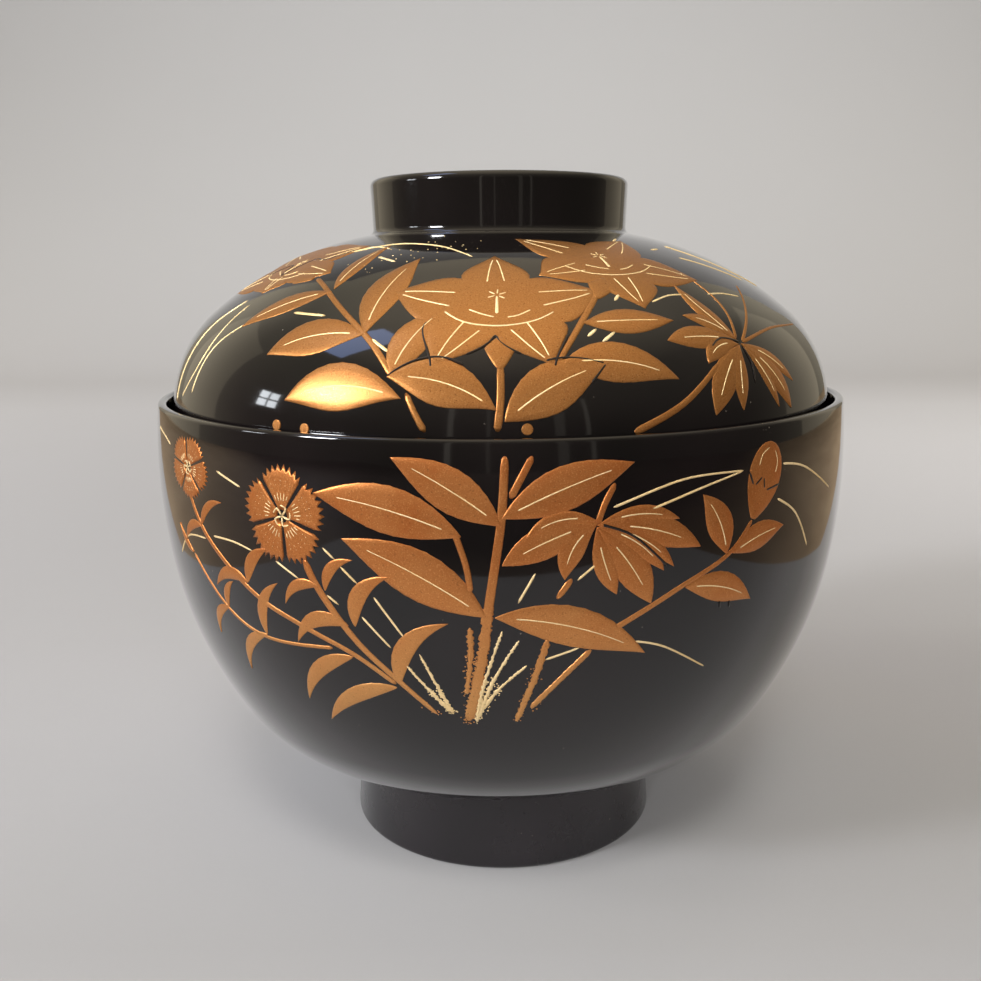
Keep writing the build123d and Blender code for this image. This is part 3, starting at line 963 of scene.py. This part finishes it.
for seed, (run, count) in enumerate((
    (((-5.2, 42.3), (-4, 37), (-3.2, 31)), 230), (((-5.1, 37), (-4.4, 30)), 60),
    (((2, 42), (3.5, 37), (4.5, 33)), 80), (((4, 39.5), (6, 37)), 25), (((-9.5, 41), (-13, 37)), 20),
)):
    powder(side.stem, run, 0.33, count, seed + 61)

# Bowl, back: one small sprig
side.whip([(176, 40), (178, 30), (184, 18), (186, 12)], 1.1, 0.8)
side.pink((186, 9), 5.2, 84)
side.leaf((178, 30), (166, 21), 5.4, -1.0)
side.leaf((180, 24), (197, 20), 5.2, 1.0)
side.leaf((177, 35), (192, 37), 4.4, 1.1)
for seed, run in enumerate((
    ((175, 41), (171, 34), (164, 29)), ((175, 41), (173, 33), (170, 27)), ((177, 41), (183, 36), (190, 30)),
)):
    side.hair(run, 0.7, 0.35, ragged=0.5, seed=seed + 31)
side.done()

# ---- Stage, light and camera, in metres

TABLE_TOP = -0.004
ABOVE_FOOT = (0.0, 0.0, 0.08)
WARM, PLAIN, COOL, PALE_BLUE = (1.0, 0.85, 0.6), (1.0, 0.98, 0.95), (0.9, 0.95, 1.0), (0.93, 0.96, 1.0)


def stage_piece(name, rows, material, smooth_from):
    """A sheet through rows of points, smooth from the row of that number on."""
    made = bmesh.new()
    rows = [[made.verts.new(p) for p in row] for row in rows]
    for k, (a, b) in enumerate(zip(rows, rows[1:])):
        made.faces.new((a[0], a[1], b[1], b[0])).smooth = k >= smooth_from
    mesh = bpy.data.meshes.new(name)
    made.to_mesh(mesh)
    made.free()
    mesh.materials.append(material)
    obj = bpy.data.objects.new(name, mesh)
    bpy.context.scene.collection.objects.link(obj)


def backdrop_paper():
    """Pale paper, toned lighter towards the back, where less light falls."""
    s = Shader("backdrop_paper", Roughness=0.9)
    tone = s.mix(s.remap(s.along("Y"), -0.05, 0.1), (0.22, 0.215, 0.215), (0.365, 0.36, 0.37))
    tone = s.mix(s.remap(s.along("Y"), 0.1, 0.6), tone, (0.54, 0.54, 0.565))
    tone = s.mix(s.remap(s.along("Y"), 0.8, 1.3), tone, (0.53, 0.53, 0.535))
    s.link(s.mix(s.remap(s.noise(6.0, 2.0), 0.3, 0.7, 0.0, 0.02), tone, (0.3, 0.3, 0.3)), "Base Color")
    return s.material


def table_with_painted_shade():
    """Wood round the paper, in its own brown at the back and darkened by painted shade towards the front.
    """
    s = Shader("table_with_painted_shade", Roughness=0.8)
    grain = s.remap(s.noise(9.0, 4.0), 0.3, 0.7)
    # Painted shade: the wood's colour is darkened towards the front.
    painted_shade_tone = s.mix(grain, (0.03, 0.022, 0.016), (0.05, 0.036, 0.026))
    wood_tone = s.mix(grain, (0.28, 0.2, 0.13), (0.36, 0.27, 0.18))
    s.link(s.mix(s.remap(s.along("Y"), -0.25, 0.1), painted_shade_tone, wood_tone), "Base Color")
    return s.material


def sweep(front, half_front, flare_from, flare, back, height, curve):
    """A sheet of paper that widens away from the camera and turns up into a backdrop."""
    profile = [(-front, TABLE_TOP), (-front, 0.0), (flare_from, 0.0), (back - curve, 0.0)]
    for k in range(1, 17):
        a = pi / 2 * k / 16
        profile.append((back - curve + curve * sin(a), curve - curve * cos(a)))
    profile.append((back, height))
    rows = []
    for y, z in profile:
        half = half_front + flare * max(0.0, y - flare_from)
        rows.append([(x, y, z) for x in (-half, half)])
    stage_piece("backdrop", rows, backdrop_paper(), 1)


def area_light(name, place, aim, size, power, colour, glossy=True, spread=180.0):
    """A rectangular light; one that isn't glossy makes no highlight on the lacquer."""
    data = bpy.data.lights.new(name, "AREA")
    data.shape = "RECTANGLE"
    data.size, data.size_y = size
    data.energy = power
    data.spread = radians(spread)
    data.color = colour
    obj = bpy.data.objects.new(name, data)
    obj.location = place
    obj.rotation_euler = (Vector(aim) - Vector(place)).to_track_quat("-Z", "Y").to_euler()
    obj.visible_glossy = glossy
    bpy.context.scene.collection.objects.link(obj)


def room(stops, behind):
    """A dim room whose light changes with height; stops are (sine of the elevation, colour).

    Low directions away from the camera are brighter, by up to the factor behind, and so are those to
    the left.
    """
    world = bpy.data.worlds.new("room")
    world.use_nodes = True
    nodes, links = world.node_tree.nodes, world.node_tree.links
    sky = nodes["Background"].inputs

    def remap(source, limits, interpolation="LINEAR"):
        made = nodes.new("ShaderNodeMapRange")
        made.interpolation_type = interpolation
        for name, number in zip(("From Min", "From Max", "To Min", "To Max"), limits):
            made.inputs[name].default_value = number
        links.new(source, made.inputs["Value"])
        return made.outputs["Result"]

    place = nodes.new("ShaderNodeTexCoord")
    way = nodes.new("ShaderNodeSeparateXYZ")
    links.new(place.outputs["Generated"], way.inputs["Vector"])

    ramp = nodes.new("ShaderNodeValToRGB")
    elements = ramp.color_ramp.elements
    while len(elements) < len(stops):
        elements.new(0.5)
    for element, (height, colour) in zip(elements, stops):
        element.position = (height + 1) / 2
        element.color = (*colour, 1.0)
    links.new(remap(way.outputs["Z"], (-1.0, 1.0, 0.0, 1.0)), ramp.inputs["Fac"])
    links.new(ramp.outputs["Color"], sky["Color"])

    low = nodes.new("ShaderNodeMath")
    low.operation = "MULTIPLY_ADD"
    low.inputs[1].default_value = -0.8
    links.new(way.outputs["Z"], low.inputs[0])
    links.new(way.outputs["Y"], low.inputs[2])
    strength = nodes.new("ShaderNodeMath")
    strength.operation = "MULTIPLY"
    depth = remap(low.outputs["Value"], (-0.15, 0.6, 1.0, behind), "SMOOTHSTEP")
    links.new(depth, strength.inputs[0])
    links.new(remap(way.outputs["X"], (-0.8, 0.8, 1.15, 0.75)), strength.inputs[1])
    links.new(strength.outputs["Value"], sky["Strength"])
    bpy.context.scene.world = world


sweep(front=0.19, half_front=0.185, flare_from=0.1, flare=0.5, back=1.3, height=1.6, curve=0.5)
stage_piece("table", [[(x, y, TABLE_TOP) for x in (-1.2, 1.2)] for y in (-1.2, 1.3)], table_with_painted_shade(), 1)
room((
    (-1.0, (0.08, 0.07, 0.055)), (-0.05, (0.1, 0.088, 0.066)), (0.12, (0.14, 0.122, 0.092)),
    (0.7, (0.36, 0.32, 0.24)), (1.0, (1.1, 0.95, 0.7)),
), 2.5)
# The lacquer mirrors the window, sky, walls, panes and strips, but not the key, the fill or the washes,
# which light the object and the paper.
area_light("key", (-1.0, -0.35, 0.85), (0.05, 0.05, 0.0), (0.4, 0.4), 5.8, PALE_BLUE, False)
area_light("window", (-0.82, -0.5, 0.47), ABOVE_FOOT, (0.2, 0.16), 9.0, (0.95, 0.97, 1.0))
area_light("skylight", (-0.7, -0.11, 1.15), (0.0, 0.0, 0.1), (0.3, 0.45), 1.4, (0.4, 0.55, 1.0))
area_light("left_wall", (-1.05, 0.65, 0.4), ABOVE_FOOT, (0.7, 0.9), 0.45, WARM)
area_light("right_wall", (1.05, 0.65, 0.4), ABOVE_FOOT, (0.7, 0.9), 0.4, WARM)
area_light("wall_wash", (0.2, -0.2, 1.5), (0.3, 1.3, 0.3), (1.0, 0.3), 1.5, (0.98, 0.97, 0.95), False, 75.0)
area_light("right_wash", (0.4, 0.25, 1.2), (0.4, 0.25, 0.0), (0.4, 0.4), 0.55, PLAIN, False, 42.0)
area_light("front_wash", (0.0, -0.5, 0.6), (0.0, -0.1, 0.0), (0.2, 0.2), 0.16, PLAIN, False, 35.0)
area_light("fill", (0.1, -1.4, 0.4), (0.15, 0.3, 0.05), (1.2, 0.6), 19.0, (0.98, 0.985, 1.0), False)
for z in (0.29, 0.37):
    for y in (-0.19, -0.105):
        area_light("pane", (-1.0, y, z), ABOVE_FOOT, (0.07, 0.065), 0.16, COOL)
for x, width, power in ((-0.42, 0.05, 0.1), (-0.1, 0.03, 0.03), (0.5, 0.09, 0.08), (0.78, 0.04, 0.06)):
    area_light("strip", (x, -1.5, 0.25), (0.0, 0.0, 0.07), (width, 1.3), power, (1.0, 0.92, 0.8))

LOOKING_DOWN, ROLL = 11.75, -0.4  # degrees
camera_data = bpy.data.cameras.new("camera")
camera_data.sensor_width = 36.0
camera_data.lens = 39.74
camera_data.shift_x = -0.0109
camera_data.clip_start, camera_data.clip_end = 0.01, 20.0
camera = bpy.data.objects.new("camera", camera_data)
camera.location = (0.0, -0.1997, 0.1032)
camera.rotation_euler = (
    Matrix.Rotation(radians(90 - LOOKING_DOWN), 3, "X") @ Matrix.Rotation(radians(ROLL), 3, "Z")
).to_euler()
scene = bpy.context.scene
scene.collection.objects.link(camera)
scene.camera = camera
scene.view_settings.view_transform = "Standard"
